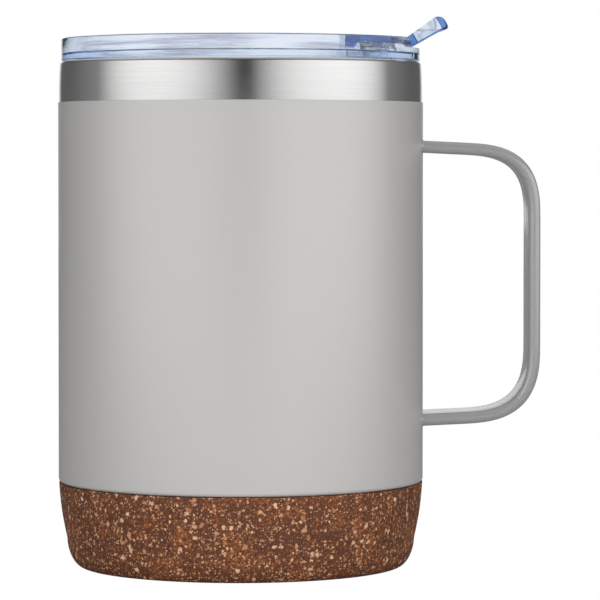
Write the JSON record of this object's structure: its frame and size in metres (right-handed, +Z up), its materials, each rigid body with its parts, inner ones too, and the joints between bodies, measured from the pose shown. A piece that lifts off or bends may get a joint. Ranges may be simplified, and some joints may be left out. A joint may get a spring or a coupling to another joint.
{
  "type": "travel mug",
  "caption": "Double-walled insulated mug with a strap handle, a cork foot and a push-in lid whose flip closure opens a drinking slot.",
  "frame": {"origin": "centre of the cork foot's flat underside, on the mug's axis", "axes": "+Z up along the mug's axis, +X through the handle and the drinking slot"},
  "size_m": [0.1106, 0.084, 0.126],
  "materials": {
    "brushed_steel": "fine brushing that runs round the mug",
    "powder_coat": "pale warm grey powder coat with a fine sandy texture",
    "coated_steel": "the same pale grey powder coat on steel strap",
    "cork": "dark agglomerated cork with light flecks, matt",
    "adhesive": "dull cured glue",
    "copper_foil": "thin bright copper foil",
    "getter_alloy": "pressed dark metal powder",
    "sealing_glass": "solder glass",
    "clear_lid": "clear, slightly blue polished plastic",
    "silicone": "milky translucent silicone"
  },
  "bodies": {
    "mug": {"outer_shell": "brushed_steel", "inner_liner": "brushed_steel", "shell_base_plate": "brushed_steel", "powder_coat": "powder_coat", "handle": "coated_steel", "cork_base": "cork", "base_adhesive_pad": "adhesive", "reflecting_foil": "copper_foil", "getter_tablet": "getter_alloy", "getter_clip": "brushed_steel", "vacuum_seal_bead": "sealing_glass"},
    "lid_seal": {"lid_gasket": "silicone"},
    "lid": {"lid_body": "clear_lid"},
    "flip": {"flip_closure": "clear_lid", "stopper_seal": "silicone"}
  },
  "joints": [
    {"name": "lid_lift", "type": "slide", "parent": "mug", "child": "lid_seal", "axis": [0, 0, 1], "range_m": [0, 0.07]},
    {"name": "lid_turn", "type": "hinge", "parent": "lid_seal", "child": "lid", "pos_m": [0, 0, 0.1162], "axis": [0, 0, 1], "continuous": true},
    {"name": "flip_hinge", "type": "hinge", "parent": "lid", "child": "flip", "pos_m": [0.025, 0, 0.11985], "axis": [0, -1, 0], "range_deg": [0, 150]}
  ]
}
